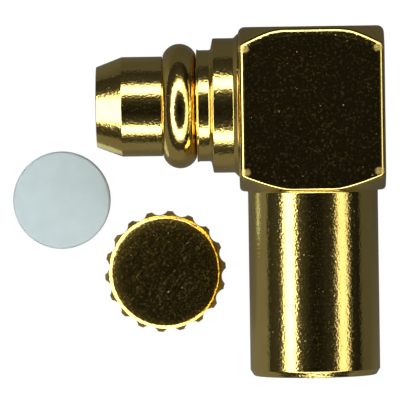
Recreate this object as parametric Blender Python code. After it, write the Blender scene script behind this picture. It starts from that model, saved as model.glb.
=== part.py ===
"""Right-angle MMCX cable plug of the solder type, with its loose insulator disc and toothed end cap.

The plug lies on one flat of its square body, as it does on a bench. The mating end points along -X,
the cable barrel along -Y, and +Z is up. The plug axis and the cable axis cross inside the block.
The disc and the cap lie beside the plug, as supplied: they close the solder hole at the rear
once the centre conductor of the cable is soldered in.
"""

import math

import bmesh
import bpy
from mathutils import Matrix, Vector

MM = 0.001

# Square body, turned from bar: block, conical end chamfers and cable barrel are one piece
BAR_SIZE = 3.50 * MM
BAR_EDGE_RADIUS = 0.15 * MM
BLOCK_TOP_REACH = 1.88 * MM
BLOCK_BOTTOM_REACH = 2.06 * MM
TOP_FACE_DIAMETER = 3.32 * MM
BOTTOM_FACE_DIAMETER = 3.49 * MM
CHAMFER_ANGLE = math.radians(30.0)
BARREL_DIAMETER = 3.13 * MM
BARREL_LENGTH = 4.46 * MM
BARREL_END_CHAMFER = 0.10 * MM

# Cable bore in the barrel, for a semi-rigid cable of this outside diameter
CABLE_DIAMETER = 2.18 * MM
CABLE_CLEARANCE = 0.06 * MM
CABLE_ENTRY_CHAMFER = 0.12 * MM
CABLE_STOP_WALL = 0.30 * MM
CONDUCTOR_PASSAGE_DIAMETER = 1.30 * MM

# Outer contact, turned and pressed into the block from the mating side
NOSE_TIP_DIAMETER = 1.93 * MM
NOSE_CONE_LENGTH = 0.62 * MM
FRONT_DIAMETER = 2.40 * MM
FRONT_LENGTH = 0.975 * MM
GROOVE_DIAMETER = 2.04 * MM
REAR_DIAMETER = 2.68 * MM
REAR_LENGTH = 0.332 * MM
FLANGE_DIAMETER = 3.24 * MM
FLANGE_LENGTH = 0.68 * MM
SHOULDER_DIAMETER = 3.48 * MM
SHOULDER_LENGTH = 0.10 * MM
CONTACT_BORE_DIAMETER = 1.70 * MM
TAIL_DIAMETER = 2.30 * MM
TAIL_LENGTH = 0.80 * MM
SMALL_EDGE = 0.04 * MM

# Split snap ring, free to turn in the groove
RING_DIAMETER = 3.00 * MM
RING_THICKNESS = 0.38 * MM
RING_WIDTH = 0.79 * MM
RING_FRONT_PLAY = 0.016 * MM
RING_REAR_PLAY = 0.017 * MM
RING_CROWN_RADIUS = 0.43 * MM
RING_SLOT_WIDTH = 0.32 * MM

# Centre contact and its insulator
PIN_DIAMETER = 0.40 * MM
PIN_RECESS = 0.30 * MM
PIN_SHANK_DIAMETER = 0.60 * MM
INSULATOR_RECESS = 1.45 * MM
INSULATOR_COLLAR_THICKNESS = 0.13 * MM
TAIL_CUP_DIAMETER = 0.96 * MM
TAIL_CUP_LENGTH = 0.95 * MM
CONDUCTOR_SLOT_WIDTH = 0.54 * MM
CONDUCTOR_SLOT_DEPTH = 0.70 * MM

# Solder hole at the rear, closed by the disc and then by the cap
CAVITY_DIAMETER = 1.90 * MM
DISC_DIAMETER = 2.37 * MM
DISC_THICKNESS = 0.30 * MM
DISC_CLEARANCE = 0.03 * MM
CAP_TIP_DIAMETER = 2.945 * MM
CAP_ROOT_DIAMETER = 2.73 * MM
CAP_THICKNESS = 0.50 * MM
CAP_PRESS = 0.05 * MM
CAP_BEVEL_WIDTH = 0.20 * MM
CAP_BEVEL_DROP = 0.085 * MM
CAP_TOOTH_CHAMFER = 0.09 * MM
CAP_TEETH = 18
CAP_LAND_WIDTH = 0.13 * MM
CAP_TURN = math.radians(4.9)
MOUTH_CHAMFER = 0.05 * MM

# Where the two loose pieces lie, measured from the crossing of the two axes
DISC_OFFSET_X = -6.11 * MM
DISC_OFFSET_Y = -2.27 * MM
CAP_OFFSET_X = -3.61 * MM
CAP_OFFSET_Y = -4.04 * MM

# Running room between pieces that are pressed or slid together
FIT_CLEARANCE = 0.02 * MM
END_CLEARANCE = 0.02 * MM

# Facets round each turned piece, and how far a cutter runs past the face it opens
BODY_FACETS = 80
CONTACT_FACETS = 72
PIN_FACETS = 40
ARC_STEPS = 5
OVERRUN = 0.40 * MM
MERGE_DISTANCE = 0.0001 * MM

# Places worked out from the sizes above
BAR_HALF = BAR_SIZE / 2
AXIS_HEIGHT = BAR_HALF
KIT_LEFT = DISC_OFFSET_X - DISC_DIAMETER / 2
KIT_RIGHT = BAR_HALF
KIT_BACK = BLOCK_TOP_REACH
KIT_FRONT = -(BLOCK_BOTTOM_REACH + BARREL_LENGTH)
CROSSING = Vector((-(KIT_LEFT + KIT_RIGHT) / 2, -(KIT_BACK + KIT_FRONT) / 2, AXIS_HEIGHT))
GROOVE_LENGTH = RING_FRONT_PLAY + RING_WIDTH + RING_REAR_PLAY
FLANGE_FACE_X = -(BAR_HALF + FLANGE_LENGTH)
GROOVE_REAR_X = FLANGE_FACE_X - REAR_LENGTH
GROOVE_FRONT_X = GROOVE_REAR_X - GROOVE_LENGTH
NOSE_BASE_X = GROOVE_FRONT_X - FRONT_LENGTH
TIP_X = NOSE_BASE_X - NOSE_CONE_LENGTH
SHOULDER_X = -BAR_HALF - END_CLEARANCE
TAIL_END_X = -BAR_HALF + TAIL_LENGTH
COLLAR_FRONT_X = TAIL_END_X + END_CLEARANCE
COLLAR_REAR_X = COLLAR_FRONT_X + INSULATOR_COLLAR_THICKNESS
SEAT_FRONT_X = COLLAR_REAR_X + END_CLEARANCE
CAP_SEAT_X = BAR_HALF - CAP_THICKNESS
DISC_SEAT_X = CAP_SEAT_X - DISC_THICKNESS - END_CLEARANCE
TAIL_BORE_RADIUS = TAIL_DIAMETER / 2 + FIT_CLEARANCE


def clear_scene():
    """Take out whatever the new scene holds."""
    for item in list(bpy.data.objects):
        bpy.data.objects.remove(item, do_unlink=True)


def finish_material(name, colour, roughness, metallic):
    """A plain surface finish, made once for each kind of material."""
    material = bpy.data.materials.new(name)
    material.use_nodes = True
    shader = material.node_tree.nodes["Principled BSDF"]
    shader.inputs["Base Color"].default_value = (*colour, 1.0)
    shader.inputs["Roughness"].default_value = roughness
    shader.inputs["Metallic"].default_value = metallic
    material.diffuse_color = (*colour, 1.0)
    return material


def place(name, mesh, material, origin, parent):
    """Put a finished mesh into the scene as one named sub-part."""
    item = bpy.data.objects.new(name, mesh)
    bpy.context.scene.collection.objects.link(item)
    item.parent = parent
    item.location = origin
    if material is not None:
        mesh.materials.append(material)
    return item


def mesh_from(bm, name):
    """Close a bmesh into a mesh that is smooth on its round sides and sharp at its edges."""
    bmesh.ops.remove_doubles(bm, verts=bm.verts, dist=MERGE_DISTANCE)
    bmesh.ops.recalc_face_normals(bm, faces=bm.faces)
    mesh = bpy.data.meshes.new(name)
    bm.to_mesh(mesh)
    bm.free()
    mesh.shade_smooth()
    mesh.set_sharp_from_angle(angle=math.radians(25.0))
    return mesh


def turned(name, profile, facets):
    """Revolve (place along X, radius) points round the X axis into one closed solid."""
    bm = bmesh.new()
    points = [bm.verts.new((along, radius, 0.0)) for along, radius in profile]
    edges = [bm.edges.new(pair) for pair in zip(points, points[1:])]
    if profile[0][1] > 0.0:
        edges.append(bm.edges.new((points[-1], points[0])))
    bmesh.ops.spin(
        bm,
        geom=points + edges,
        cent=(0.0, 0.0, 0.0),
        axis=(1.0, 0.0, 0.0),
        angle=math.tau,
        steps=facets,
        use_merge=True,
    )
    return mesh_from(bm, name)


def turned_along_y(name, profile, facets):
    """Revolve (place along Y, radius) points round the Y axis into one closed solid."""
    mesh = turned(name, profile, facets)
    mesh.transform(Matrix.Rotation(math.radians(90.0), 4, "Z"))
    return mesh


def arc(centre_along, centre_radius, radius, start, end, steps):
    """Points of a circular arc in a profile, angles measured from the +X direction."""
    points = []
    for step in range(steps + 1):
        angle = start + (end - start) * step / steps
        along = centre_along + radius * math.cos(angle)
        out = centre_radius + radius * math.sin(angle)
        points.append((along, out))
    return points


def cut(target, cutter, operation):
    """Add one cut to a sub-part, with the cutter hidden from the finished model."""
    cutter.hide_render = True
    cutter.display_type = "WIRE"
    modifier = target.modifiers.new(cutter.name, "BOOLEAN")
    modifier.operation = operation
    modifier.solver = "EXACT"
    modifier.object = cutter


def square_bar():
    """The drawn bar that the body is turned from, with its rounded long edges."""
    corner = BAR_HALF - BAR_EDGE_RADIUS
    outline = []
    for quarter in range(4):
        middle = math.radians(45.0 + 90.0 * quarter)
        centre_x = math.copysign(corner, math.cos(middle))
        centre_z = math.copysign(corner, math.sin(middle))
        for step in range(ARC_STEPS):
            angle = middle + math.radians(90.0) * (step / (ARC_STEPS - 1) - 0.5)
            x = centre_x + BAR_EDGE_RADIUS * math.cos(angle)
            z = centre_z + BAR_EDGE_RADIUS * math.sin(angle)
            outline.append((x, z))
    bm = bmesh.new()
    ends = [BLOCK_TOP_REACH + OVERRUN, -(BLOCK_BOTTOM_REACH + BARREL_LENGTH + OVERRUN)]
    loops = [[bm.verts.new((x, y, z)) for x, z in outline] for y in ends]
    for loop in loops:
        bm.faces.new(loop)
    for index in range(len(outline)):
        after = (index + 1) % len(outline)
        bm.faces.new((loops[0][index], loops[0][after], loops[1][after], loops[1][index]))
    return mesh_from(bm, "square_bar")


def body_envelope():
    """What the lathe leaves round the cable axis: two conical chamfers, the block and the barrel."""
    top_radius = TOP_FACE_DIAMETER / 2
    bottom_radius = BOTTOM_FACE_DIAMETER / 2
    barrel_radius = BARREL_DIAMETER / 2
    outer = BAR_HALF * math.sqrt(2.0)
    slope = math.tan(CHAMFER_ANGLE)
    barrel_end = -(BLOCK_BOTTOM_REACH + BARREL_LENGTH)
    profile = [
        (BLOCK_TOP_REACH, 0.0),
        (BLOCK_TOP_REACH, top_radius),
        (BLOCK_TOP_REACH - (outer - top_radius) * slope, outer),
        (-BLOCK_BOTTOM_REACH + (outer - bottom_radius) * slope, outer),
        (-BLOCK_BOTTOM_REACH, bottom_radius),
        (-BLOCK_BOTTOM_REACH, barrel_radius),
        (barrel_end + BARREL_END_CHAMFER, barrel_radius),
        (barrel_end, barrel_radius - BARREL_END_CHAMFER),
        (barrel_end, 0.0),
    ]
    return turned_along_y("body", profile, BODY_FACETS)


def cable_bore():
    """Cable hole up the barrel to its stop, then the passage for the centre conductor."""
    bore = (CABLE_DIAMETER + CABLE_CLEARANCE) / 2
    passage = CONDUCTOR_PASSAGE_DIAMETER / 2
    barrel_end = -(BLOCK_BOTTOM_REACH + BARREL_LENGTH)
    stop = -(TAIL_BORE_RADIUS + CABLE_STOP_WALL)
    mouth = bore + CABLE_ENTRY_CHAMFER
    profile = [
        (0.0, 0.0),
        (0.0, passage),
        (stop, passage),
        (stop, bore),
        (barrel_end + CABLE_ENTRY_CHAMFER, bore),
        (barrel_end, mouth),
        (barrel_end - OVERRUN, mouth + OVERRUN),
        (barrel_end - OVERRUN, 0.0),
    ]
    return turned_along_y("cable_bore", profile, CONTACT_FACETS)


def plug_bore():
    """Stepped hole along the plug axis: tail seat, cavity, disc seat and cap seat."""
    cavity = CAVITY_DIAMETER / 2
    disc_seat = DISC_DIAMETER / 2 + DISC_CLEARANCE
    cap_seat = (CAP_TIP_DIAMETER - CAP_PRESS) / 2
    profile = [
        (-BAR_HALF - OVERRUN, 0.0),
        (-BAR_HALF - OVERRUN, TAIL_BORE_RADIUS),
        (SEAT_FRONT_X, TAIL_BORE_RADIUS),
        (SEAT_FRONT_X, cavity),
        (DISC_SEAT_X, cavity),
        (DISC_SEAT_X, disc_seat),
        (CAP_SEAT_X, disc_seat),
        (CAP_SEAT_X, cap_seat),
        (BAR_HALF - MOUTH_CHAMFER, cap_seat),
        (BAR_HALF + OVERRUN, cap_seat + MOUTH_CHAMFER + OVERRUN),
        (BAR_HALF + OVERRUN, 0.0),
    ]
    return turned("plug_bore", profile, CONTACT_FACETS)


def outer_contact():
    """Turned shell: nose cone, front land, ring groove, rear land, flange and press-in tail."""
    tip = NOSE_TIP_DIAMETER / 2
    front = FRONT_DIAMETER / 2
    groove = GROOVE_DIAMETER / 2
    rear = REAR_DIAMETER / 2
    flange = FLANGE_DIAMETER / 2
    shoulder = SHOULDER_DIAMETER / 2
    tail = TAIL_DIAMETER / 2
    bore = CONTACT_BORE_DIAMETER / 2
    profile = [
        (TIP_X, bore + SMALL_EDGE),
        (TIP_X, tip - SMALL_EDGE),
        (TIP_X + SMALL_EDGE, tip),
        (NOSE_BASE_X, front),
        (GROOVE_FRONT_X, front),
        (GROOVE_FRONT_X, groove),
        (GROOVE_REAR_X, groove),
        (GROOVE_REAR_X, rear - SMALL_EDGE),
        (GROOVE_REAR_X + SMALL_EDGE, rear),
        (FLANGE_FACE_X, rear),
        (FLANGE_FACE_X, flange - SMALL_EDGE),
        (FLANGE_FACE_X + SMALL_EDGE, flange),
        (SHOULDER_X - SHOULDER_LENGTH, flange),
        (SHOULDER_X, shoulder),
        (SHOULDER_X, tail),
        (TAIL_END_X - SMALL_EDGE, tail),
        (TAIL_END_X, tail - SMALL_EDGE),
        (TAIL_END_X, bore),
        (TIP_X + SMALL_EDGE, bore),
    ]
    return turned("outer_contact", profile, CONTACT_FACETS)


def snap_ring():
    """Split ring of crowned spring strip, its slot turned towards the table."""
    outside = RING_DIAMETER / 2
    inside = outside - RING_THICKNESS
    half = RING_WIDTH / 2
    crown_r = outside - RING_CROWN_RADIUS
    edge = math.acos(half / RING_CROWN_RADIUS)
    profile = [(-half, inside), (half, inside)]
    profile += arc(0.0, crown_r, RING_CROWN_RADIUS, edge, math.pi - edge, 2 * ARC_STEPS)
    slot = RING_SLOT_WIDTH / outside
    bm = bmesh.new()
    points = [bm.verts.new((along, 0.0, -radius)) for along, radius in profile]
    first = bm.faces.new(points)
    bmesh.ops.rotate(bm, verts=points, matrix=Matrix.Rotation(slot / 2, 3, "X"))
    bmesh.ops.spin(
        bm,
        geom=[first],
        cent=(0.0, 0.0, 0.0),
        axis=(1.0, 0.0, 0.0),
        angle=math.tau - slot,
        steps=CONTACT_FACETS,
    )
    return mesh_from(bm, "snap_ring")


def centre_contact():
    """Pin with a rounded point, a shank held by the insulator, and a cup for the cable conductor."""
    pin = PIN_DIAMETER / 2
    shank = PIN_SHANK_DIAMETER / 2
    cup = TAIL_CUP_DIAMETER / 2
    point_x = TIP_X + PIN_RECESS
    step_x = TIP_X + INSULATOR_RECESS
    cup_x = COLLAR_REAR_X + END_CLEARANCE
    cup_end = cup_x + TAIL_CUP_LENGTH
    nose = arc(point_x + pin, 0.0, pin, math.pi, math.radians(90.0), ARC_STEPS)
    profile = [(along, max(out, 0.0)) for along, out in nose]
    profile[0] = (point_x, 0.0)
    profile += [
        (step_x, pin),
        (step_x, shank),
        (cup_x, shank),
        (cup_x, cup),
        (cup_end - SMALL_EDGE, cup),
        (cup_end, cup - SMALL_EDGE),
        (cup_end, 0.0),
    ]
    return turned("center_contact", profile, PIN_FACETS), cup_end


def box_mesh(name, low, high):
    """A box cutter between two corners."""
    bm = bmesh.new()
    bmesh.ops.create_cube(bm, size=1.0)
    low = Vector(low)
    high = Vector(high)
    size = high - low
    bmesh.ops.scale(bm, vec=size, verts=bm.verts)
    bmesh.ops.translate(bm, vec=(low + high) / 2, verts=bm.verts)
    return mesh_from(bm, name)


def front_insulator():
    """Moulded bush that holds the pin, with a collar trapped between the tail and the block."""
    outside = CONTACT_BORE_DIAMETER / 2 - FIT_CLEARANCE
    inside = PIN_SHANK_DIAMETER / 2 + FIT_CLEARANCE
    collar = TAIL_BORE_RADIUS - FIT_CLEARANCE
    front_x = TIP_X + INSULATOR_RECESS
    profile = [
        (front_x, inside),
        (front_x, outside - SMALL_EDGE),
        (front_x + SMALL_EDGE, outside),
        (COLLAR_FRONT_X, outside),
        (COLLAR_FRONT_X, collar),
        (COLLAR_REAR_X, collar),
        (COLLAR_REAR_X, inside),
    ]
    return turned("front_insulator", profile, CONTACT_FACETS)


def disc():
    """Punched insulator disc, lying flat, its edge slightly broken by the punch."""
    radius = DISC_DIAMETER / 2
    edge = SMALL_EDGE
    profile = [
        (0.0, 0.0),
        (0.0, radius - edge),
        (edge, radius),
        (DISC_THICKNESS - edge, radius),
        (DISC_THICKNESS, radius - edge),
        (DISC_THICKNESS, 0.0),
    ]
    mesh = turned("insulator_disc", profile, CONTACT_FACETS)
    mesh.transform(Matrix.Rotation(math.radians(-90.0), 4, "Y"))
    return mesh


def toothed_outline():
    """One turn of the cap's rim: narrow lands parted by round scallops."""
    tip = CAP_TIP_DIAMETER / 2
    root = CAP_ROOT_DIAMETER / 2
    pitch = math.tau / CAP_TEETH
    land = CAP_LAND_WIDTH / tip
    half_gap = (pitch - land) / 2
    corner_along = tip * math.cos(half_gap)
    corner_across = tip * math.sin(half_gap)
    depth = corner_along - root
    scallop = (corner_across**2 + depth**2) / (2 * depth)
    sweep = math.asin(corner_across / scallop)
    outline = []
    for tooth in range(CAP_TEETH):
        middle = CAP_TURN + pitch * (tooth + 0.5)
        for step in range(ARC_STEPS + 2):
            lean = sweep * (2 * step / (ARC_STEPS + 1) - 1)
            along = root + scallop * (1 - math.cos(lean))
            across = scallop * math.sin(lean)
            x = along * math.cos(middle) - across * math.sin(middle)
            y = along * math.sin(middle) + across * math.cos(middle)
            outline.append((x, y))
    return outline


def end_cap():
    """Pressed cap: flat top with a sloping edge, standing on a rim of gripping teeth."""
    outline = toothed_outline()
    root = CAP_ROOT_DIAMETER / 2
    neck = root - SMALL_EDGE / 2
    neck_height = CAP_THICKNESS - CAP_BEVEL_DROP
    shelf = neck_height - CAP_TOOTH_CHAMFER
    foot_scale = (root - SMALL_EDGE) / root
    bm = bmesh.new()
    loops = []
    loops.append([bm.verts.new((x * foot_scale, y * foot_scale, 0.0)) for x, y in outline])
    loops.append([bm.verts.new((x, y, SMALL_EDGE)) for x, y in outline])
    loops.append([bm.verts.new((x, y, shelf)) for x, y in outline])
    for step in range(ARC_STEPS - 1):
        share = step / (ARC_STEPS - 2)
        radius = neck - CAP_BEVEL_WIDTH * share
        height = neck_height + CAP_BEVEL_DROP * math.sin(math.radians(90.0) * share)
        loop = []
        for x, y in outline:
            turn = math.atan2(y, x)
            loop.append(bm.verts.new((radius * math.cos(turn), radius * math.sin(turn), height)))
        loops.append(loop)
    count = len(outline)
    for lower, upper in zip(loops, loops[1:]):
        for index in range(count):
            after = (index + 1) % count
            bm.faces.new((lower[index], lower[after], upper[after], upper[index]))
    bm.faces.new(list(reversed(loops[0])))
    bm.faces.new(loops[-1])
    return mesh_from(bm, "end_cap")


def build():
    """Make every piece in its place."""
    clear_scene()
    gold_block = finish_material("gold_plated_body", (0.80, 0.60, 0.24), 0.22, 1.0)
    gold_contact = finish_material("gold_plated_outer_contact", (0.83, 0.63, 0.26), 0.15, 1.0)
    gold_ring = finish_material("gold_plated_spring_ring", (0.84, 0.65, 0.28), 0.14, 1.0)
    gold_pin = finish_material("gold_plated_pin", (0.83, 0.62, 0.25), 0.18, 1.0)
    gold_cap = finish_material("gold_plated_cap", (0.72, 0.53, 0.21), 0.25, 1.0)
    white_bush = finish_material("white_ptfe_bush", (0.85, 0.87, 0.86), 0.45, 0.0)
    white_disc = finish_material("white_ptfe_disc", (0.58, 0.67, 0.67), 0.45, 0.0)

    axes = bpy.data.objects.new("axes_crossing", None)
    bpy.context.scene.collection.objects.link(axes)
    axes.location = CROSSING
    table = bpy.data.objects.new("table_under_axes", None)
    bpy.context.scene.collection.objects.link(table)
    table.location = (CROSSING.x, CROSSING.y, 0.0)
    centre = (0.0, 0.0, 0.0)

    body = place("body", body_envelope(), gold_block, centre, axes)
    cut(body, place("square_bar", square_bar(), None, centre, axes), "INTERSECT")
    cut(body, place("plug_bore", plug_bore(), None, centre, axes), "DIFFERENCE")
    cut(body, place("cable_bore", cable_bore(), None, centre, axes), "DIFFERENCE")

    place("outer_contact", outer_contact(), gold_contact, centre, axes)
    place("front_insulator", front_insulator(), white_bush, centre, axes)

    ring_x = GROOVE_FRONT_X + RING_FRONT_PLAY + RING_WIDTH / 2
    place("snap_ring", snap_ring(), gold_ring, (ring_x, 0.0, 0.0), axes)

    pin_mesh, cup_end = centre_contact()
    pin = place("center_contact", pin_mesh, gold_pin, centre, axes)
    side = TAIL_CUP_DIAMETER
    low = (cup_end - CONDUCTOR_SLOT_DEPTH, -side, -CONDUCTOR_SLOT_WIDTH / 2)
    high = (cup_end + OVERRUN, side, CONDUCTOR_SLOT_WIDTH / 2)
    slot = place("conductor_slot", box_mesh("conductor_slot", low, high), None, centre, axes)
    cut(pin, slot, "DIFFERENCE")

    place("insulator_disc", disc(), white_disc, (DISC_OFFSET_X, DISC_OFFSET_Y, 0.0), table)
    place("end_cap", end_cap(), gold_cap, (CAP_OFFSET_X, CAP_OFFSET_Y, 0.0), table)
    bpy.context.view_layer.update()


build()
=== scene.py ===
"""Looks of a right-angle MMCX plug for semi-rigid cable, with its loose PTFE disc and toothed end cap.

The sections follow the plug as it is put together: the turned body, the outer contact, its snap ring,
the insulating bush, the pin, then the disc and the cap that lie beside it. The table, the light and
the camera come last. Lengths are in millimetres until a mesh is made.
"""

import math

import bpy
import numpy as np
from mathutils import Matrix, Vector


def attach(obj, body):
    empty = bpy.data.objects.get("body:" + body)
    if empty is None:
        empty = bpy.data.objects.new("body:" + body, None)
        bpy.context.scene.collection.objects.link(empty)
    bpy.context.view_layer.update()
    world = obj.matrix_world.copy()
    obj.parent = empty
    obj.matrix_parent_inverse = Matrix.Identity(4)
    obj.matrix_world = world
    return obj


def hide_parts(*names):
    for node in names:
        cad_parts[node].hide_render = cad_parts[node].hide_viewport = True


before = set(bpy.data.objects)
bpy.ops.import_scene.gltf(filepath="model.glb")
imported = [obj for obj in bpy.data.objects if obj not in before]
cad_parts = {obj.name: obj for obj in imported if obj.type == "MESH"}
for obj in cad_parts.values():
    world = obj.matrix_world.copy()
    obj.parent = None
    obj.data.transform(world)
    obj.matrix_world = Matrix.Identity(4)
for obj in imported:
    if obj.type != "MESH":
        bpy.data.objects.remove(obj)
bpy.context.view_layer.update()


# The body: block, chamfered ends and cable barrel are one piece of square brass bar, turned between
# centres so that the lathe leaves two cones on the block and a round barrel below it, then bored
# right through along the plug and up from the barrel's end, tumbled and gold plated.
MM = 0.001
AXES_CROSS = Vector((2.7725, 2.32, 1.75))
BAR_HALF = 1.75
BAR_EDGE = 0.15
TOP_EDGE = 0.16
BOTTOM_EDGE = 0.10
BLOCK_TOP = 1.88
BLOCK_BOTTOM = -2.06
TOP_RADIUS = 1.86
BOTTOM_RADIUS = 1.785
TOP_SLOPE = math.radians(36.0)
BOTTOM_SLOPE = math.radians(30.0)
TOP_ROLL = 0.55
BOTTOM_ROLL = 0.09
CONE_REACH = 2.70
END_FLAT = 0.45
BARREL_RADIUS = 1.565
BARREL_END = -6.52
FLAT_STEPS = 27
CORNER_STEPS = 7
EDGE_STEPS = 6
SHARP_ABOVE = math.radians(35.0)

# Wear of the block: where tumbling rubs each corner of its flats, measured from the flats' middle, and
# where the burr lies under the cut at the closed end, as a height that drops off with the square of
# the distance from the middle
BLOCK_MIDDLE = AXES_CROSS - Vector((0.0, 0.115, 0.0))
RUBBED_SPOT = Vector((1.57, 1.47, 1.57))
RUBBED_INSIDE = 0.190
RUBBED_OUTSIDE = 0.215
BURR_FROM = 1.825
BURR_WIDTH = 0.03
BURR_CURVE = 0.13
ON_FLAT_WITHIN = 0.003
BURR_TIMES_GRAIN = 10.0
FLATS_SHARE_OF_GRAIN = 0.30


def srgb(colour, alpha=1.0):
    """A hex colour as the linear red, green and blue that Blender's sockets take."""
    levels = [int(colour[place : place + 2], 16) / 255 for place in (1, 3, 5)]
    linear = [v / 12.92 if v <= 0.04045 else ((v + 0.055) / 1.055) ** 2.4 for v in levels]
    return (*linear, alpha)


def add_node(tree, kind, feeds=None, **settings):
    """One shader node with its settings, each socket fed by a value or by another node's output."""
    node = tree.nodes.new("ShaderNode" + kind)
    for name, value in settings.items():
        setattr(node, name, value)
    for socket, value in (feeds or {}).items():
        if isinstance(value, bpy.types.NodeSocket):
            tree.links.new(value, node.inputs[socket])
        else:
            node.inputs[socket].default_value = value
    return node


def scratch_lines(tree, place, degrees):
    """Thin lines that all run one way, some 0.03 mm apart and 0.9 mm long: 1 on a line, 0 beside it."""
    slant = add_node(
        tree,
        "Mapping",
        {
            "Vector": place,
            "Rotation": (0.0, 0.0, math.radians(degrees)),
            "Scale": (0.9 * MM, 0.030 * MM, 0.9 * MM),
        },
        vector_type="TEXTURE",
    )
    lines = add_node(tree, "TexNoise", {"Vector": slant.outputs[0], "Scale": 1.0, "Detail": 1.0})
    return add_node(tree, "MapRange", {"Value": lines.outputs["Fac"], 1: 0.52, 2: 0.70, 3: 0.0, 4: 1.0})


def rubbed_corners(tree, place):
    """How much duller the plate is at each corner of the block's flats, rubbed there in tumbling."""
    from_middle = add_node(tree, "VectorMath", {0: place, 1: BLOCK_MIDDLE * MM}, operation="SUBTRACT")
    folded = add_node(tree, "VectorMath", {0: from_middle.outputs[0]}, operation="ABSOLUTE")
    away = add_node(
        tree, "VectorMath", {0: folded.outputs[0], 1: RUBBED_SPOT * MM}, operation="DISTANCE"
    )
    return add_node(
        tree,
        "MapRange",
        {"Value": away.outputs["Value"], 1: RUBBED_OUTSIDE * MM, 2: RUBBED_INSIDE * MM, 3: 0.0, 4: 0.30},
    )


def burr_beads(tree, place):
    """How much coarser the grain is where the cut at the closed end left its burr on the flats."""
    from_middle = add_node(tree, "VectorMath", {0: place, 1: BLOCK_MIDDLE * MM}, operation="SUBTRACT")
    folded = add_node(tree, "VectorMath", {0: from_middle.outputs[0]}, operation="ABSOLUTE")
    side = add_node(tree, "SeparateXYZ", {"Vector": folded.outputs[0]})
    out = add_node(tree, "Math", {0: side.outputs["X"], 1: side.outputs["Z"]}, operation="MAXIMUM")
    on_flat = add_node(
        tree, "Math", {0: out.outputs[0], 1: (BAR_HALF - ON_FLAT_WITHIN) * MM}, operation="GREATER_THAN"
    )
    across = add_node(tree, "Math", {0: side.outputs["X"], 1: side.outputs["Z"]}, operation="MINIMUM")
    bow = add_node(tree, "Math", {0: across.outputs[0], 1: 2.0}, operation="POWER")
    up = add_node(tree, "SeparateXYZ", {"Vector": from_middle.outputs[0]})
    level = add_node(
        tree,
        "Math",
        {0: bow.outputs[0], 1: BURR_CURVE / MM, 2: up.outputs["Y"]},
        operation="MULTIPLY_ADD",
    )
    near_cut = add_node(
        tree,
        "MapRange",
        {"Value": level.outputs[0], 1: (BURR_FROM - BURR_WIDTH) * MM, 2: BURR_FROM * MM, 3: 0.0, 4: 1.0},
    )
    burr = add_node(tree, "Math", {0: near_cut.outputs[0], 1: on_flat.outputs[0]}, operation="MULTIPLY")
    return add_node(
        tree, "Math", {0: burr.outputs[0], 1: BURR_TIMES_GRAIN - 1.0, 2: 1.0}, operation="MULTIPLY_ADD"
    )


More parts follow.
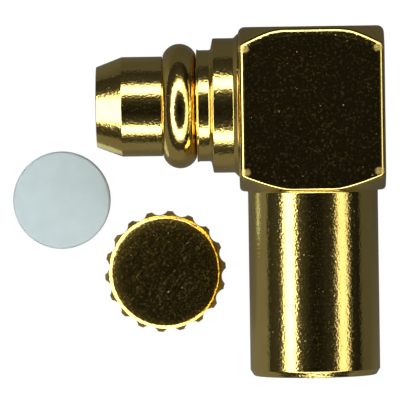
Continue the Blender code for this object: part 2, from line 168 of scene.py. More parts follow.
def gold_plate(
    name,
    colour,
    worn_colour,
    roughness,
    marks,
    mark_depth,
    grain,
    grain_depth,
    specks,
    has_block=False,
    scratch_turn=None,
):
    """Bright gold over machined brass. marks is the tool marks' spacing along x, y and z in mm.

    has_block adds what only the body has: drawn flats above the turned barrel, rubbed corners and a
    burr. scratch_turn is the way that scratches run, in degrees.
    """
    material = bpy.data.materials.new(name)
    material.use_nodes = True
    tree = material.node_tree
    shader = tree.nodes["Principled BSDF"]
    shader.inputs["Metallic"].default_value = 1.0
    place = add_node(tree, "TexCoord").outputs["Object"]

    # Tool marks: noise drawn out along the cut, one ridge to each feed of the tool, under the plate's
    # grain. On the body they end where the turning ends, and the drawn flats have a shallower grain
    per_metre = [1.0 / (spacing * MM) for spacing in marks]
    along_cut = add_node(tree, "Mapping", {"Vector": place, "Scale": per_metre})
    ridges = add_node(tree, "TexNoise", {"Vector": along_cut.outputs[0], "Scale": 1.0, "Detail": 2.0})
    fine = add_node(tree, "TexNoise", {"Vector": place, "Scale": 1.0 / (grain * MM), "Detail": 1.0})
    height = ridges.outputs["Fac"]
    grain_height = fine.outputs["Fac"]
    if has_block:
        part = add_node(tree, "SeparateXYZ", {"Vector": place})
        barrel_from = (AXES_CROSS.y + BLOCK_BOTTOM) * MM
        is_turned = add_node(tree, "Math", {0: part.outputs["Y"], 1: barrel_from}, operation="LESS_THAN")
        cut = add_node(tree, "Math", {0: height, 1: is_turned.outputs[0]}, operation="MULTIPLY")
        height = cut.outputs[0]
        coarse = add_node(
            tree, "MapRange", {"Value": is_turned.outputs[0], 3: FLATS_SHARE_OF_GRAIN, 4: 1.0}
        )
        drawn = add_node(tree, "Math", {0: grain_height, 1: coarse.outputs[0]}, operation="MULTIPLY")
        beads = burr_beads(tree, place)
        beaded = add_node(
            tree, "Math", {0: drawn.outputs[0], 1: beads.outputs[0]}, operation="MULTIPLY"
        )
        grain_height = beaded.outputs[0]

    # The slow change in the plate's colour and gloss from one patch to the next
    patch = add_node(tree, "TexNoise", {"Vector": place, "Scale": 1.0 / (0.9 * MM), "Detail": 4.0})
    tint = add_node(tree, "ValToRGB", {"Fac": patch.outputs["Fac"]})
    tint.color_ramp.elements[0].position = 0.35
    tint.color_ramp.elements[0].color = srgb(colour)
    tint.color_ramp.elements[1].position = 0.70
    tint.color_ramp.elements[1].color = srgb(worn_colour)
    tree.links.new(tint.outputs["Color"], shader.inputs["Base Color"])

    # Mottling: islands of duller plate a few hundredths of a millimetre across
    islands = add_node(tree, "TexNoise", {"Vector": place, "Scale": 1.0 / (0.06 * MM), "Detail": 2.0})
    dull = add_node(
        tree,
        "MapRange",
        {"Value": islands.outputs["Fac"], 1: 0.50, 2: 0.68, 3: 0.0, 4: 0.10},
    )
    gloss = add_node(
        tree,
        "MapRange",
        {"Value": patch.outputs["Fac"], 1: 0.3, 2: 0.7, 3: roughness * 0.9, 4: roughness * 1.25},
    )
    skin_gloss = add_node(tree, "Math", {0: gloss.outputs[0], 1: dull.outputs[0]}, operation="ADD")

    # Scratches are duller than the plate and cut a little into it
    if scratch_turn is not None:
        line = scratch_lines(tree, place, scratch_turn)
        skin_gloss = add_node(
            tree, "Math", {0: line.outputs[0], 1: 0.06, 2: skin_gloss.outputs[0]}, operation="MULTIPLY_ADD"
        )
        scored = add_node(tree, "Math", {0: line.outputs[0], 1: -0.085, 2: height}, operation="MULTIPLY_ADD")
        height = scored.outputs[0]

    # Specks: pits and dust up to a fortieth of a millimetre across, matt where they lie
    cells = add_node(tree, "TexVoronoi", {"Vector": place, "Scale": 1.0 / (0.11 * MM)})
    pick = add_node(tree, "SeparateColor", {"Color": cells.outputs["Color"]})
    reach = add_node(tree, "Math", {0: pick.outputs[1], 1: 0.18, 2: 0.04}, operation="MULTIPLY_ADD")
    near = add_node(tree, "Math", {0: cells.outputs["Distance"], 1: reach.outputs[0]}, operation="LESS_THAN")
    rare = add_node(tree, "Math", {0: pick.outputs[0], 1: specks}, operation="LESS_THAN")
    speck = add_node(tree, "Math", {0: near.outputs[0], 1: rare.outputs[0]}, operation="MULTIPLY")
    matt = add_node(
        tree, "Math", {0: speck.outputs[0], 1: 0.22, 2: skin_gloss.outputs[0]}, operation="MULTIPLY_ADD"
    )
    if has_block:
        rubbed = rubbed_corners(tree, place)
        matt = add_node(tree, "Math", {0: matt.outputs[0], 1: rubbed.outputs[0]}, operation="ADD")
    tree.links.new(matt.outputs[0], shader.inputs["Roughness"])

    marked = add_node(tree, "Bump", {"Height": height, "Distance": mark_depth * MM, "Strength": 1.0})
    skin = add_node(
        tree,
        "Bump",
        {
            "Height": grain_height,
            "Distance": grain_depth * MM,
            "Strength": 1.0,
            "Normal": marked.outputs[0],
        },
    )
    tree.links.new(skin.outputs[0], shader.inputs["Normal"])
    return material


def rounded(corners, closed=True, facet=15.0):
    """Profile points from (along, out, fillet) corners, each turned by an arc of its fillet."""
    points = []
    for index, (along, out, fillet) in enumerate(corners):
        here = Vector((along, out))
        inner = closed or 0 < index < len(corners) - 1
        if fillet == 0.0 or not inner:
            points.append(tuple(here))
            continue
        before = (Vector(corners[index - 1][:2]) - here).normalized()
        after = (Vector(corners[(index + 1) % len(corners)][:2]) - here).normalized()
        half = before.angle(after) / 2
        centre = here + (before + after).normalized() * fillet / math.sin(half)
        first = here + before * fillet / math.tan(half) - centre
        last = here + after * fillet / math.tan(half) - centre
        turn = first.angle_signed(last)
        steps = max(2, round(abs(turn) / math.radians(facet)))
        for step in range(steps + 1):
            points.append(tuple(centre + Matrix.Rotation(-turn * step / steps, 2) @ first))
    return points


def skinned(name, rings, closed_ends=True):
    """A mesh over equal rings of points, one skin of faces between each ring and the next."""
    count = len(rings[0])
    faces = []
    for ring in range(len(rings) - 1):
        low = ring * count
        for index in range(count):
            after = (index + 1) % count
            faces.append((low + index, low + after, low + count + after, low + count + index))
    if closed_ends:
        faces.append(tuple(reversed(range(count))))
        faces.append(tuple(range((len(rings) - 1) * count, len(rings) * count)))
    mesh = bpy.data.meshes.new(name)
    mesh.from_pydata([tuple(point) for ring in rings for point in ring], [], faces)
    return mesh


def turned(name, profile, steps, axis="X"):
    """Revolve (along, out) points, in mm from where the axes cross, round the plug or cable axis."""
    rings = []
    closed = profile[0][1] > 0.0
    for along, out in profile + profile[:1] * closed:
        ring = []
        for step in range(steps):
            angle = math.tau * step / steps
            across, up = out * math.cos(angle), out * math.sin(angle)
            ring.append((along, across, up) if axis == "X" else (-across, along, up))
        rings.append(ring)
    return skinned(name, rings, closed_ends=not closed)


def face_outward(mesh):
    """Turn the faces over if the skin was wound inside out."""
    mesh.calc_loop_triangles()
    points = [vertex.co for vertex in mesh.vertices]
    volume = sum(
        points[a].dot(points[b].cross(points[c]))
        for a, b, c in (triangle.vertices for triangle in mesh.loop_triangles)
    )
    if volume < 0.0:
        mesh.flip_normals()


def put(mesh, centre=AXES_CROSS):
    """An object at the origin with this mesh, moved from mm round centre to metres in the frame."""
    face_outward(mesh)
    mesh.transform(Matrix.Scale(MM, 4) @ Matrix.Translation(centre))
    item = bpy.data.objects.new(mesh.name, mesh)
    bpy.context.scene.collection.objects.link(item)
    weld = item.modifiers.new("weld", "WELD")
    weld.merge_threshold = 0.0004 * MM
    settle(item)
    return item


def settle(item):
    """Bake the modifiers into the mesh, with smooth rounds and true flats."""
    shape = item.evaluated_get(bpy.context.evaluated_depsgraph_get())
    mesh = bpy.data.meshes.new_from_object(shape)
    item.modifiers.clear()
    old = item.data
    item.data = mesh
    bpy.data.meshes.remove(old)
    mesh.name = item.name
    mesh.shade_smooth()
    mesh.set_sharp_from_angle(angle=SHARP_ABOVE)

    # Normals blended by area, so that a flat or a cylinder stays true up to its rounded edge
    around = [[] for _ in mesh.vertices]
    for face in mesh.polygons:
        for vertex in face.vertices:
            around[vertex].append((face.normal.copy(), face.area))
    blended = []
    for face in mesh.polygons:
        for vertex in face.vertices:
            total = Vector()
            for normal, area in around[vertex]:
                if face.normal.dot(normal) > math.cos(SHARP_ABOVE):
                    total += normal * area
            blended.append(total.normalized())
    mesh.normals_split_custom_set(blended)


def cut_away(item, *cutters):
    """Bore or slot a piece with each cutter in turn, and take the cutters out of the scene."""
    for cutter in cutters:
        bore = item.modifiers.new(cutter.name, "BOOLEAN")
        bore.operation = "DIFFERENCE"
        bore.solver = "EXACT"
        bore.object = cutter
    settle(item)
    for cutter in cutters:
        bpy.data.objects.remove(cutter)


def dress(item, material, node, body):
    """Give the piece its material, and let it stand for a CAD node on that node's body."""
    item.data.materials.clear()
    item.data.materials.append(material)
    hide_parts(node)
    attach(item, body)


side_half = BAR_HALF - BAR_EDGE


def bar_outline(inset):
    """Points of the bar's outline, in by this much, each with its outward normal."""
    outline = []
    for quarter in range(4):
        face = Vector((math.cos(quarter * math.pi / 2), math.sin(quarter * math.pi / 2)))
        along_face = Vector((-face.y, face.x))
        for step in range(FLAT_STEPS + 1):
            offset = side_half * math.sin(math.pi / 2 * (2 * step / FLAT_STEPS - 1))
            outline.append((face * (BAR_HALF - inset) + along_face * offset, face))
        for step in range(1, CORNER_STEPS):
            turn = math.pi / 2 * step / CORNER_STEPS
            out = face * math.cos(turn) + along_face * math.sin(turn)
            centre = (face + along_face) * side_half
            outline.append((centre + out * (BAR_EDGE - inset), out))
    return outline


def block_end(height, edge_radius, slope, roll, ball_radius, sense):
    """Rings over one turned end, from its flat round the cone's edge to the bar's sides."""
    cone_rise = math.tan(slope) * (CONE_REACH - edge_radius)
    profile = rounded(
        [(edge_radius - END_FLAT, 0.0, 0.0), (edge_radius, 0.0, roll), (CONE_REACH, -cone_rise, 0.0)],
        closed=False,
        facet=5.0,
    )
    normals = [Vector((0.0, 1.0))]
    arc_steps = len(profile) - 3
    for step in range(arc_steps + 1):
        lean = slope * step / arc_steps
        normals.append(Vector((math.sin(lean), math.cos(lean))))
    normals.append(normals[-1])
    inner = [Vector(point) - normal * ball_radius for point, normal in zip(profile, normals)]
    reach = [0.0]
    for before, after in zip(profile, profile[1:]):
        reach.append(reach[-1] + (Vector(after) - Vector(before)).length)

    def on_profile(column, where):
        return np.interp(where, reach, column)

    rings = [[] for _ in range(len(profile) + EDGE_STEPS)]
    for centre, side in bar_outline(ball_radius):
        spoke = centre.normalized()
        touch = np.interp(centre.length, [point.x for point in inner], reach)
        for index, here in enumerate(reach[:-1]):
            where = min(here, touch)
            out = on_profile([point[0] for point in profile], where)
            drop = on_profile([point[1] for point in profile], where)
            rings[index].append((spoke.x * out, height + sense * drop, spoke.y * out))
        lean_out = on_profile([normal.x for normal in normals], touch)
        lean_up = on_profile([normal.y for normal in normals], touch)
        start = Vector((spoke.x * lean_out, sense * lean_up, spoke.y * lean_out)).normalized()
        end = Vector((side.x, 0.0, side.y))
        drop = on_profile([point.y for point in inner], touch)
        ball = Vector((centre.x, height + sense * drop, centre.y))
        for step in range(EDGE_STEPS + 1):
            turned_out = start.slerp(end, step / EDGE_STEPS)
            rings[len(reach) - 1 + step].append(ball + turned_out * ball_radius)
    return rings


top_rings = block_end(BLOCK_TOP, TOP_RADIUS, TOP_SLOPE, TOP_ROLL, TOP_EDGE, 1)
bottom_rings = block_end(BLOCK_BOTTOM, BOTTOM_RADIUS, BOTTOM_SLOPE, BOTTOM_ROLL, BOTTOM_EDGE, -1)
barrel_profile = rounded(
    [
        (BLOCK_BOTTOM, BARREL_RADIUS + 0.08, 0.0),
        (BLOCK_BOTTOM, BARREL_RADIUS, 0.05),
        (BARREL_END + 0.150, BARREL_RADIUS, 0.06),
        (BARREL_END + 0.015, BARREL_RADIUS - 0.083, 0.02),
        (BARREL_END, BARREL_RADIUS - 0.110, 0.01),
        (BARREL_END, 1.35, 0.0),
    ],
    closed=False,
)
barrel_rings = []
directions = [centre.normalized() for centre, _ in bar_outline(BOTTOM_EDGE)]
for along, out in barrel_profile:
    spokes = [direction * out for direction in directions]
    barrel_rings.append([(spoke.x, along, spoke.y) for spoke in spokes])
body_rings = top_rings + bottom_rings[::-1][:-1] + barrel_rings
body = put(skinned("body", body_rings))

# The plug's bore, from the mating side to the rear: the seat of the contact's tail, the cavity where
# the conductor is soldered, the disc's seat and the cap's. A step in the cable's bore stops the cable
plug_bore_profile = rounded(
    [
        (-2.15, 0.0, 0.0),
        (-2.15, 1.17, 0.0),
        (-0.78, 1.17, 0.0),
        (-0.78, 0.95, 0.0),
        (0.93, 0.95, 0.02),
        (0.93, 1.215, 0.0),
        (1.25, 1.215, 0.02),
        (1.25, 1.4475, 0.0),
        (1.70, 1.4475, 0.03),
        (2.15, 1.8975, 0.0),
        (2.15, 0.0, 0.0),
    ],
    closed=False,
)
cable_bore_profile = rounded(
    [
        (0.0, 0.0, 0.0),
        (0.0, 0.65, 0.0),
        (-1.47, 0.65, 0.02),
        (-1.47, 1.12, 0.02),
        (BARREL_END + 0.12, 1.12, 0.03),
        (BARREL_END - 0.40, 1.64, 0.0),
        (BARREL_END - 0.40, 0.0, 0.0),
    ],
    closed=False,
)
plug_bore = put(turned("plug_bore", plug_bore_profile, 128))
cable_bore = put(turned("cable_bore", cable_bore_profile, 128, axis="Y"))
cut_away(body, plug_bore, cable_bore)

# Gold plate on turned bar, tumbled: a mirror with a fine grain, ring marks round the barrel every
# few hundredths of a millimetre, and a few matt pits, so that reflections have crumbling edges
plated_bar = gold_plate(
    "gold_plate_on_turned_bar",
    colour="#F5D97F",
    worn_colour="#F0D074",
    roughness=0.078,
    marks=(3.0, 0.085, 3.0),
    mark_depth=0.0070,
    grain=0.055,
    grain_depth=0.0044,
    specks=0.10,
    has_block=True,
)
dress(body, plated_bar, "body", "connector")


# The outer contact: turned brass with a coned nose, a plain front land, a groove for the snap ring,
# a rear land and a flange. Its tail is pressed into the block until the flared shoulder meets it.
contact_profile = rounded(
    [
        (-5.18, 0.89, 0.015),
        (-5.18, 0.965, 0.030),
        (-4.56, 1.20, 0.060),
        (-3.585, 1.20, 0.020),
        (-3.585, 1.02, 0.0),
        (-2.762, 1.02, 0.0),
        (-2.762, 1.37, 0.015),
        (-2.715, 1.34, 0.030),
        (-2.43, 1.34, 0.050),
        (-2.375, 1.62, 0.040),
        (-1.87, 1.62, 0.030),
        (-1.755, 1.735, 0.012),
        (-1.755, 1.15, 0.0),
        (-0.99, 1.15, 0.0),
        (-0.95, 1.11, 0.0),
        (-0.95, 0.85, 0.0),
        (-5.14, 0.85, 0.0),
    ]
)
outer_contact = put(turned("outer_contact", contact_profile, 160))

# Gold plate on fine turning: smoother than the bar, with ring marks along the plug's axis
plated_turning = gold_plate(
    "gold_plate_on_fine_turning",
    colour="#F5D97F",
    worn_colour="#F0D074",
    roughness=0.09,
    marks=(0.07, 2.4, 2.4),
    mark_depth=0.0022,
    grain=0.055,
    grain_depth=0.0042,
    specks=0.12,
)
dress(outer_contact, plated_turning, "outer_contact", "connector")


# The snap ring: crowned spring strip of copper alloy, rolled into a split ring and plated. It lies
# loose in the groove, turns there, and closes its slot as the plug is pushed home.
RING_CENTRE = -3.174
RING_OUTSIDE = 1.50
RING_INSIDE = 1.12
RING_HALF_WIDTH = 0.395
RING_CROWN = 0.43
RING_SLOT = 0.32
RING_EDGE = 0.03
RING_BROKEN_END = 0.02
RING_END_SHARE = 0.93
RING_STEPS = 150
CROWN_STEPS = 20
crown_edge = math.acos(RING_HALF_WIDTH / RING_CROWN)
ring_profile = [
    (-RING_HALF_WIDTH + RING_EDGE, RING_INSIDE),
    (RING_HALF_WIDTH - RING_EDGE, RING_INSIDE),
    (RING_HALF_WIDTH, RING_INSIDE + RING_EDGE),
]
for step in range(CROWN_STEPS + 1):
    lean = crown_edge + (math.pi - 2 * crown_edge) * step / CROWN_STEPS
    crown_along = RING_CROWN * math.cos(lean)
    ring_profile.append((crown_along, RING_OUTSIDE - RING_CROWN + RING_CROWN * math.sin(lean)))
ring_profile.append((-RING_HALF_WIDTH, RING_INSIDE + RING_EDGE))
middle_out = (RING_OUTSIDE + RING_INSIDE) / 2
ring_rings = []
half_slot = RING_SLOT / RING_OUTSIDE / 2
broken = RING_BROKEN_END / RING_OUTSIDE
stations = [(half_slot, RING_END_SHARE), (half_slot + broken, 1.0)]
for step in range(1, RING_STEPS):
    stations.append((half_slot + (math.tau - 2 * half_slot) * step / RING_STEPS, 1.0))
stations += [(math.tau - half_slot - broken, 1.0), (math.tau - half_slot, RING_END_SHARE)]
for turn, share in stations:
    section = []
    for along, out in ring_profile:
        radius = middle_out + (out - middle_out) * share
        place = (RING_CENTRE + along * share, -radius * math.sin(turn), -radius * math.cos(turn))
        section.append(place)
    ring_rings.append(section)
snap_ring = put(skinned("snap_ring", ring_rings))

# Gold plate on rolled spring strip: the brightest and smoothest of the plated pieces
plated_spring = gold_plate(
    "gold_plate_on_spring_strip",
    colour="#F6D87C",
    worn_colour="#EFCB6C",
    roughness=0.075,
    marks=(0.09, 2.0, 2.0),
    mark_depth=0.0015,
    grain=0.060,
    grain_depth=0.0026,
    specks=0.08,
)
dress(snap_ring, plated_spring, "snap_ring", "spring")


# The insulating bush: white PTFE, turned, slid into the contact from behind. Its collar is held
# between the contact's tail and a step in the block, and it grips the pin's shank.
bush_profile = rounded(
    [
        (-3.73, 0.32, 0.010),
        (-3.73, 0.83, 0.040),
        (-0.93, 0.83, 0.0),
        (-0.93, 1.15, 0.020),
        (-0.80, 1.15, 0.020),
        (-0.80, 0.32, 0.010),
    ]
)
front_insulator = put(turned("front_insulator", bush_profile, 96))


def ptfe(name, colour, shade, roughness, marks, mark_depth):
    """White PTFE: waxy, marked by how it was cut."""
    material = bpy.data.materials.new(name)
    material.use_nodes = True
    tree = material.node_tree
    shader = tree.nodes["Principled BSDF"]
    shader.inputs["IOR"].default_value = 1.35
    shader.inputs["Roughness"].default_value = roughness
    place = add_node(tree, "TexCoord").outputs["Object"]
    cloud = add_node(tree, "TexNoise", {"Vector": place, "Scale": 1.0 / (0.35 * MM), "Detail": 5.0})
    tint = add_node(tree, "ValToRGB", {"Fac": cloud.outputs["Fac"]})
    tint.color_ramp.elements[0].position = 0.30
    tint.color_ramp.elements[0].color = srgb(shade)
    tint.color_ramp.elements[1].position = 0.65
    tint.color_ramp.elements[1].color = srgb(colour)
    tree.links.new(tint.outputs["Color"], shader.inputs["Base Color"])
    per_metre = [1.0 / (spacing * MM) for spacing in marks]
    along_cut = add_node(tree, "Mapping", {"Vector": place, "Scale": per_metre})
    lines = add_node(tree, "TexNoise", {"Vector": along_cut.outputs[0], "Scale": 1.0, "Detail": 3.0})
    bump = add_node(tree, "Bump", {"Height": lines.outputs["Fac"], "Distance": mark_depth * MM})
    tree.links.new(bump.outputs[0], shader.inputs["Normal"])
    return material


turned_ptfe = ptfe(
    "white_turned_ptfe",
    colour="#EFF1EE",
    shade="#E2E6E3",
    roughness=0.42,
    marks=(0.06, 1.5, 1.5),
    mark_depth=0.002,
)
dress(front_insulator, turned_ptfe, "front_insulator", "connector")


# The centre contact: turned beryllium copper or brass pin with a rounded point, a thicker shank in
# the bush, and a slotted cup where the cable's centre conductor is soldered.
pin_profile = rounded(
    [
        (-4.88, 0.0, 0.0),
        (-4.88, 0.20, 0.170),
        (-3.73, 0.20, 0.0),
        (-3.73, 0.30, 0.0),
        (-0.78, 0.30, 0.0),
        (-0.78, 0.48, 0.030),
        (0.17, 0.48, 0.035),
        (0.17, 0.0, 0.0),
    ],
    closed=False,
)
center_contact = put(turned("center_contact", pin_profile, 64))
slot_outline = [(-0.96, -0.27), (0.96, -0.27), (0.96, 0.27), (-0.96, 0.27)]
slot_ends = [[(along, across, up) for across, up in slot_outline] for along in (-0.53, 0.57)]
conductor_slot = put(skinned("conductor_slot", slot_ends))
cut_away(center_contact, conductor_slot)

# Gold plate on the pin: thicker plate and a finer turning than the shell
plated_pin = gold_plate(
    "gold_plate_on_turned_pin",
    colour="#F5D67A",
    worn_colour="#EECB6A",
    roughness=0.12,
    marks=(0.05, 1.0, 1.0),
    mark_depth=0.0025,
    grain=0.04,
    grain_depth=0.0025,
    specks=0.03,
)
dress(center_contact, plated_pin, "center_contact", "connector")


# The insulator disc: punched from white PTFE sheet, lying loose on the table. It goes into the
# block's rear hole over the soldered joint, before the cap.
DISC_CENTRE = Vector((AXES_CROSS.x - 6.11, AXES_CROSS.y - 2.27, 0.0))
DISC_RADIUS = 1.185
disc_profile = rounded(
    [
        (0.0, 0.0, 0.0),
        (0.0, DISC_RADIUS, 0.030),
        (0.30, DISC_RADIUS, 0.070),
        (0.30, 0.0, 0.0),
    ],
    closed=False,
)
disc_mesh = turned("insulator_disc", disc_profile, 144)
disc_mesh.transform(Matrix.Rotation(math.radians(-90.0), 4, "Y"))
insulator_disc = put(disc_mesh, DISC_CENTRE)

# PTFE sheet: dull cool white, with faint skive lines and clouding
punched_ptfe = ptfe(
    "white_punched_ptfe",
    colour="#B9C8C9",
    shade="#B3C2C4",
    roughness=0.45,
    marks=(0.9, 0.05, 0.9),
    mark_depth=0.001,
)
dress(insulator_disc, punched_ptfe, "insulator_disc", "connector")


# The end cap: a brass cap stamped with a bevelled edge and eighteen gripping teeth, gold plated.
# It is pressed into the rear hole over the disc, and its teeth bite into the bore.
CAP_CENTRE = Vector((AXES_CROSS.x - 3.61, AXES_CROSS.y - 4.04, 0.0))
CAP_TIP = 1.4725
CAP_ROOT = 1.372
CAP_TEETH = 18
CAP_LAND = 0.13
SCALLOP_STEPS = 12
CAP_TURN = math.radians(4.9)
pitch = math.tau / CAP_TEETH
half_gap = (pitch - CAP_LAND / CAP_TIP) / 2
chord = CAP_TIP * math.sin(half_gap)
hollow = CAP_TIP * math.cos(half_gap) - CAP_ROOT
scallop = (chord**2 + hollow**2) / (2 * hollow)
sweep = math.asin(chord / scallop)
rim = []
for tooth in range(CAP_TEETH):
    middle = CAP_TURN + pitch * (tooth + 0.5)
    for step in range(SCALLOP_STEPS + 1):
        lean = sweep * (2 * step / SCALLOP_STEPS - 1)
        out = CAP_ROOT + scallop * (1 - math.cos(lean))
        across = scallop * math.sin(lean)
        rim.append(Vector((out, across)))
        rim[-1].rotate(Matrix.Rotation(middle, 2))

# Heights up the teeth, and how far the rim stands out there: broken edges at the foot and the shoulder
CAP_RIM = [(0.0, -0.05), (0.015, -0.015), (0.045, 0.0), (0.30, 0.0), (0.325, -0.012)]
cap_rings = []
for height, grow in CAP_RIM:
    cap_rings.append([(*(point * (1 + grow / point.length)), height) for point in rim])

# Slope of the cap's top in degrees at each radius: flat in the middle, a bevel of 24, a rolled rim
CAP_SLOPES = [
    (0.600, 0),
    (0.970, 1),
    (1.090, 4),
    (1.180, 8),
    (1.245, 10.5),
    (1.285, 13),
    (1.300, 16),
    (1.312, 20),
    (1.325, 22.5),
    (1.345, 24),
    (1.368, 25.5),
    (1.380, 29),
    (1.390, 36),
    (1.396, 50),
]
CAP_HEIGHT = 0.500
SCALLOP_LIP = 0.004
dome_radii = [radius for radius, slope in CAP_SLOPES]
dome_heights = [CAP_HEIGHT]
for (inner, inner_slope), (outer, outer_slope) in zip(CAP_SLOPES, CAP_SLOPES[1:]):
    fall = math.tan(math.radians((inner_slope + outer_slope) / 2)) * (outer - inner)
    dome_heights.append(dome_heights[-1] - fall)
for radius in reversed(dome_radii):
    ring = []
    for point in rim:
        out = min(radius, point.length - SCALLOP_LIP)
        ring.append((*(point.normalized() * out), np.interp(out, dome_radii, dome_heights)))
    cap_rings.append(ring)
end_cap = put(skinned("end_cap", cap_rings), CAP_CENTRE)

# Gold plate on stamping: the sheet's orange-peel skin under the plate clouds its mirror, and it is
# scratched slantwise where it has slid against other caps
plated_stamping = gold_plate(
    "gold_plate_on_stamping",
    colour="#F3D273",
    worn_colour="#E9C35F",
    roughness=0.11,
    marks=(0.35, 0.35, 0.35),
    mark_depth=0.0035,
    grain=0.060,
    grain_depth=0.0036,
    specks=0.03,
    scratch_turn=50.0,
)
dress(end_cap, plated_stamping, "end_cap", "connector")
# The photograph's plug does not mirror the cap, perhaps because the two were photographed apart
end_cap.visible_glossy = False


# The table: plain pale board. In the photograph the background was cut to white while the metal still
# shows a grey table, so the board has a white lift, seen in full by the camera and little by mirrors.
TABLE_GREY = "#353637"
WHITE_LIFT = 0.98
# Painted reflection: the share of the lift that the metal mirrors, from the disc's and cap's side to the
# closed end's
PAINTED_REFLECTION_SHARES = (0.15, 0.048)
TABLE_RADIUS = 600.0
TABLE_SIDES = 64
BELOW_PARTS = 0.005
table_ring = []
for step in range(TABLE_SIDES):
    angle = math.tau * step / TABLE_SIDES
    out = TABLE_RADIUS * MM
    table_ring.append((out * math.cos(angle), out * math.sin(angle), 0.0))
table_mesh = bpy.data.meshes.new("table")
table_mesh.from_pydata(table_ring, [], [tuple(range(TABLE_SIDES))])
table = bpy.data.objects.new("table", table_mesh)
table.location.z = -BELOW_PARTS * MM
bpy.context.scene.collection.objects.link(table)
board = bpy.data.materials.new("pale_matt_board")
board.use_nodes = True
tree = board.node_tree
tree.nodes.clear()
paper = add_node(tree, "BsdfDiffuse", {"Color": srgb(TABLE_GREY)})
ray = add_node(tree, "LightPath")
mirrors = add_node(
    tree,
    "Math",
    {0: ray.outputs["Is Glossy Ray"], 1: ray.outputs["Is Transmission Ray"]},
    operation="ADD",
)
# Painted reflection: mirrors see more of the lift towards the disc and the cap than towards the closed end,
# along x + y, a glow on the board that lights the gold's mirrored edges more on that side
spot = add_node(tree, "TexCoord").outputs["Object"]
along = add_node(tree, "VectorMath", {0: spot, 1: (1.0, 1.0, 0.0)}, operation="DOT_PRODUCT")
share = add_node(
    tree,
    "MapRange",
    {"Value": along.outputs["Value"], 1: -5 * MM, 2: 6 * MM, 3: PAINTED_REFLECTION_SHARES[0], 4: PAINTED_REFLECTION_SHARES[1]},
)
seen = add_node(
    tree,
    "Math",
    {0: mirrors.outputs[0], 1: share.outputs[0], 2: ray.outputs["Is Camera Ray"]},
    operation="MULTIPLY_ADD",
)
lift = add_node(tree, "Math", {0: seen.outputs[0], 1: WHITE_LIFT}, operation="MULTIPLY")
glow = add_node(tree, "Emission", {"Strength": lift.outputs[0]})
both = add_node(tree, "AddShader", {0: paper.outputs[0], 1: glow.outputs[0]})
add_node(tree, "OutputMaterial", {"Surface": both.outputs[0]})
table_mesh.materials.append(board)


# The light: a cloth tent, with a soft ring lamp round a dark lens hood overhead. The gold mirrors
# the hood as its dark middles, the ring as its bright bands, and the tent's skirt as dark edges.
TENT_RADIUS = 400.0
TENT_RINGS = 50
TENT_SPOKES = 96
TENT_LEAN = Matrix.Rotation(math.radians(7.0), 3, "X") @ Matrix.Rotation(math.radians(4.0), 3, "Y")
tent_rings = []
for step in range(TENT_RINGS):
    fall = math.radians(0.5 + 100.0 * step / (TENT_RINGS - 1))
    ring = []
    for spoke in range(TENT_SPOKES):
        turn = math.tau * spoke / TENT_SPOKES
        way = Vector((math.sin(fall) * math.cos(turn), math.sin(fall) * math.sin(turn), math.cos(fall)))
        ring.append(way * TENT_RADIUS * MM)
    tent_rings.append(ring)
tent_mesh = skinned("tent", tent_rings, closed_ends=False)
tent = bpy.data.objects.new("tent", tent_mesh)
tent.rotation_mode = "QUATERNION"
tent.rotation_quaternion = TENT_LEAN.to_quaternion()
tent.visible_camera = False
bpy.context.scene.collection.objects.link(tent)
cloth = bpy.data.materials.new("tent_cloth_and_ring_lamp")
cloth.use_nodes = True
tree = cloth.node_tree
tree.nodes.clear()
spot = add_node(tree, "TexCoord").outputs["Object"]
way = add_node(tree, "VectorMath", {0: spot}, operation="NORMALIZE")
part = add_node(tree, "SeparateXYZ", {0: way.outputs[0]})
fall = add_node(tree, "Math", {0: part.outputs["Z"]}, operation="ARCCOSINE")
band = add_node(tree, "MapRange", {"Value": fall.outputs[0], 1: 0.0, 2: math.radians(90.0)})
level = add_node(tree, "ValToRGB", {"Fac": band.outputs[0]})
ramp = level.color_ramp
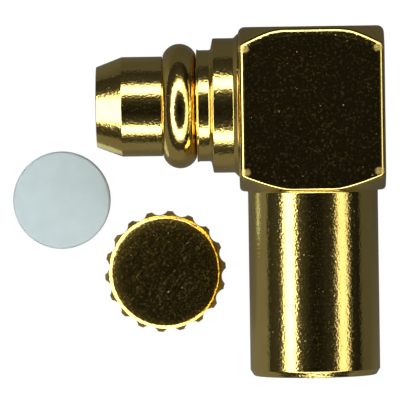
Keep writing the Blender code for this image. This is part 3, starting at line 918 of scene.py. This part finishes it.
# Degrees off the lamp's axis, and how bright the tent is there as a share of the ring
LAMP_BANDS = [
    (0, 0.0012),
    (10, 0.0022),
    (20, 0.0065),
    (30, 0.012),
    (36, 0.06),
    (40, 1.0),
    (54.5, 1.0),
    (59, 0.15),
    (64, 0.011),
    (90, 0.007),
]
# The ring is brighter on its left: its strength there, and on its right
LAMP_STRENGTHS = (4.3, 1.5)
while len(ramp.elements) < len(LAMP_BANDS):
    ramp.elements.new(0.5)
for element, (degrees, share) in zip(ramp.elements, LAMP_BANDS):
    element.position = degrees / 90.0
    element.color = (share, share, share, 1.0)
strength = add_node(
    tree,
    "MapRange",
    {"Value": part.outputs["X"], 1: 0.15, 2: 0.6, 3: LAMP_STRENGTHS[0], 4: LAMP_STRENGTHS[1]},
)
power = add_node(tree, "Math", {0: level.outputs["Color"], 1: strength.outputs[0]}, operation="MULTIPLY")
light = add_node(tree, "Emission", {"Color": srgb("#FFFFFF"), "Strength": power.outputs[0]})
add_node(tree, "OutputMaterial", {"Surface": light.outputs[0]})
tent_mesh.materials.append(cloth)

world = bpy.data.worlds.new("pale_room")
world.use_nodes = True
world.node_tree.nodes["Background"].inputs["Color"].default_value = srgb("#F7F7F7")
world.node_tree.nodes["Background"].inputs["Strength"].default_value = 1.0
bpy.context.scene.world = world


# The camera: a long lens nearly straight above, its foot by the block's top edge, turned a little
CAMERA_TARGET = Vector((0.0499, 0.0503, 1.75)) * MM
CAMERA_REACH = Vector((2.2286, 4.1861, 150.0)) * MM
CAMERA_ROLL = math.radians(0.8144)
lens = bpy.data.cameras.new("camera")
lens.sensor_width = 36.0
lens.lens = 560.5
lens.clip_start = 0.01
lens.clip_end = 2.0
camera = bpy.data.objects.new("camera", lens)
bpy.context.scene.collection.objects.link(camera)
back = CAMERA_REACH.normalized()
right = Vector((math.cos(CAMERA_ROLL), -math.sin(CAMERA_ROLL), 0.0))
up = back.cross(right).normalized()
right = up.cross(back)
turn = Matrix((right, up, back)).transposed().to_4x4()
camera.matrix_world = Matrix.Translation(CAMERA_TARGET + CAMERA_REACH) @ turn
bpy.context.scene.camera = camera

bpy.context.scene.view_settings.view_transform = "Standard"
